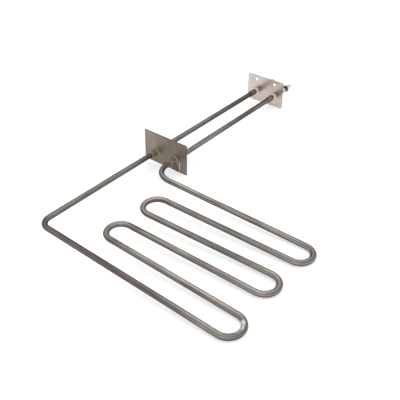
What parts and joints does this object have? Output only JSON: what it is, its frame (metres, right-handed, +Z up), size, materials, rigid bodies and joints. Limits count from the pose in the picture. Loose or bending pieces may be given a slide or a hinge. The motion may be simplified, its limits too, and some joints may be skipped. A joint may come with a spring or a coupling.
{
  "type": "tubular heating element",
  "caption": "Metal-sheathed tubular heating element: flat serpentine on two long parallel legs, with a baffle plate, a mounting plate and threaded terminals.",
  "frame": {"origin": "on the mounting plate's face that meets the appliance wall, midway between the two legs and on their axes", "axes": "+Y out of the mounting face, along the legs toward the terminals; +X across the legs toward the far bends of the serpentine; +Z up, square to the serpentine"},
  "size_m": [0.365, 0.616, 0.055],
  "materials": {
    "sheath": "annealed stainless sheath, dull grey-brown with heat tints",
    "magnesia": "pressed magnesium oxide powder",
    "resistance_wire": "nickel-chrome resistance wire",
    "mounting_sheet": "bright rolled stainless sheet",
    "baffle_sheet": "brushed stainless sheet, slightly tinted",
    "sleeve_steel": "steel sleeve darkened by brazing",
    "braze": "silver braze, bright",
    "seal_resin": "silicone resin",
    "insulator_ceramic": "unglazed ceramic",
    "terminal_steel": "turned steel with an M6 thread",
    "hardware_steel": "zinc-plated steel"
  },
  "bodies": {
    "root": {"baffle_braze_ring_left": "braze", "baffle_braze_ring_right": "braze", "baffle_plate": "baffle_sheet", "baffle_sleeve_left": "sleeve_steel", "baffle_sleeve_right": "sleeve_steel", "flat_washer_left": "hardware_steel", "flat_washer_right": "hardware_steel", "inner_nut_left": "hardware_steel", "inner_nut_right": "hardware_steel", "insulator_left": "insulator_ceramic", "insulator_right": "insulator_ceramic", "magnesia_packing": "magnesia", "mounting_braze_ring_left": "braze", "mounting_braze_ring_right": "braze", "mounting_plate": "mounting_sheet", "mounting_sleeve_left": "sleeve_steel", "mounting_sleeve_right": "sleeve_steel", "outer_nut_left": "hardware_steel", "outer_nut_right": "hardware_steel", "resistance_coil": "resistance_wire", "seal_plug_left": "seal_resin", "seal_plug_right": "seal_resin", "sheath_tube": "sheath", "spring_washer_left": "hardware_steel", "spring_washer_right": "hardware_steel", "terminal_pin_left": "terminal_steel", "terminal_pin_right": "terminal_steel"}
  },
  "joints": []
}
